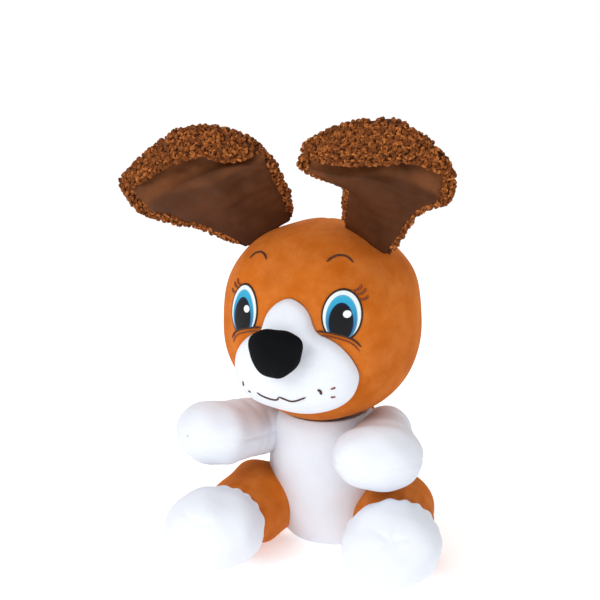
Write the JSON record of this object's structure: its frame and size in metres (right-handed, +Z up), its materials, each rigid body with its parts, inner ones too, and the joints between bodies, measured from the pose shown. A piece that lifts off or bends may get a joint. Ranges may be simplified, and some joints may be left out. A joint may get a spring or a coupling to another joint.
{
  "type": "plush puppy",
  "caption": "Sitting plush puppy with a round head, white muzzle, raised curly ears swung by a gear drive, and press buttons in its feet.",
  "frame": {"origin": "centre of the seat, on the surface the puppy sits on", "axes": "+Z up, the puppy faces -Y, and its own left side is +X"},
  "size_m": [0.2561, 0.2023, 0.3276],
  "materials": {
    "tan_plush": "short pile, matt",
    "white_plush": "short pile, matt",
    "black_plush": "short pile, matt",
    "curly_plush": "curly pile, matt",
    "satin": "smooth, slight sheen",
    "fibre": "loose polyester fibre",
    "eye_thread": "satin stitch",
    "dark_thread": "satin stitch",
    "moulded": "moulded",
    "dark_moulded": "moulded",
    "steel": "bright",
    "board": "solder mask"
  },
  "bodies": {
    "torso": {"torso_front_cover": "white_plush", "torso_back_cover": "tan_plush", "torso_filling": "fibre", "tail_cover": "tan_plush", "battery_box": "dark_moulded", "battery_lid": "dark_moulded", "lid_screw": "steel", "aa_cell_1": "dark_moulded", "aa_cell_2": "dark_moulded", "aa_cell_3": "dark_moulded", "speaker": "dark_moulded", "sound_board": "board"},
    "flap": {"closure_flap": "tan_plush"},
    "switch": {"power_switch": "moulded"},
    "head": {"head_cover": "tan_plush", "muzzle_cover": "white_plush", "nose_cushion": "black_plush", "head_filling": "fibre", "eye_left_embroidery": "eye_thread", "eye_right_embroidery": "eye_thread", "brow_left_embroidery": "dark_thread", "brow_right_embroidery": "dark_thread", "mouth_embroidery": "dark_thread", "drive_case_left": "dark_moulded", "drive_case_right": "dark_moulded", "case_screw_1": "steel", "case_screw_2": "steel", "drive_motor": "steel"},
    "ears": {"ear_shaft": "steel", "ear_gear": "moulded", "ear_left_sherpa": "curly_plush", "ear_left_lining": "satin", "ear_left_stay": "moulded", "ear_right_sherpa": "curly_plush", "ear_right_lining": "satin", "ear_right_stay": "moulded"},
    "pinion": {"drive_pinion": "moulded"},
    "arm_left": {"arm_left_cover": "white_plush", "arm_left_filling": "fibre"},
    "arm_right": {"arm_right_cover": "white_plush", "arm_right_filling": "fibre"},
    "leg_left": {"thigh_left_cover": "tan_plush", "foot_left_cover": "white_plush", "leg_left_filling": "fibre", "button_left_base": "dark_moulded"},
    "leg_right": {"thigh_right_cover": "tan_plush", "foot_right_cover": "white_plush", "leg_right_filling": "fibre", "button_right_base": "dark_moulded"},
    "button_left": {"button_left_cap": "moulded"},
    "button_right": {"button_right_cap": "moulded"}
  },
  "joints": [
    {"name": "head_turn", "type": "hinge", "parent": "torso", "child": "head", "pos_m": [0, -0.034, 0.179], "axis": [0, 0, 1], "range_deg": [-15, 15], "stiffness_Nm_per_rad": 0.6},
    {"name": "ears_swing", "type": "hinge", "parent": "head", "child": "ears", "pos_m": [-0.00122, -0.04694, 0.219], "axis": [0.9956, -0.0941, 0], "range_deg": [-12, 60]},
    {"name": "pinion_spin", "type": "hinge", "parent": "head", "child": "pinion", "pos_m": [0.00089, -0.02454, 0.219], "axis": [0.9956, -0.0941, 0], "range_deg": [-125, 30]},
    {"name": "arm_left_swing", "type": "hinge", "parent": "torso", "child": "arm_left", "pos_m": [0.043, -0.008, 0.088], "axis": [0, 0, 1], "range_deg": [0, 35], "stiffness_Nm_per_rad": 0.3},
    {"name": "arm_right_swing", "type": "hinge", "parent": "torso", "child": "arm_right", "pos_m": [-0.043, -0.008, 0.088], "axis": [0, 0, -1], "range_deg": [0, 35], "stiffness_Nm_per_rad": 0.3},
    {"name": "leg_left_splay", "type": "hinge", "parent": "torso", "child": "leg_left", "pos_m": [0.053, -0.02, 0.0305], "axis": [0, 0, 1], "range_deg": [0, 20], "stiffness_Nm_per_rad": 0.8},
    {"name": "leg_right_splay", "type": "hinge", "parent": "torso", "child": "leg_right", "pos_m": [-0.053, -0.02, 0.0305], "axis": [0, 0, -1], "range_deg": [0, 20], "stiffness_Nm_per_rad": 0.8},
    {"name": "button_left_press", "type": "slide", "parent": "leg_left", "child": "button_left", "axis": [-0.1818, 0.983, 0.0269], "range_m": [0, 0.002], "stiffness_N_per_m": 700},
    {"name": "button_right_press", "type": "slide", "parent": "leg_right", "child": "button_right", "axis": [0.1818, 0.983, 0.0269], "range_m": [0, 0.002], "stiffness_N_per_m": 700},
    {"name": "switch_slide", "type": "slide", "parent": "torso", "child": "switch", "axis": [1, 0, 0], "range_m": [0, 0.004]},
    {"name": "flap_open", "type": "hinge", "parent": "torso", "child": "flap", "pos_m": [0, 0.0275, 0.089], "axis": [1, 0, 0], "range_deg": [0, 100]}
  ],
  "couplings": [
    {"joint": "pinion_spin", "follows": "ears_swing", "ratio": -2}
  ]
}
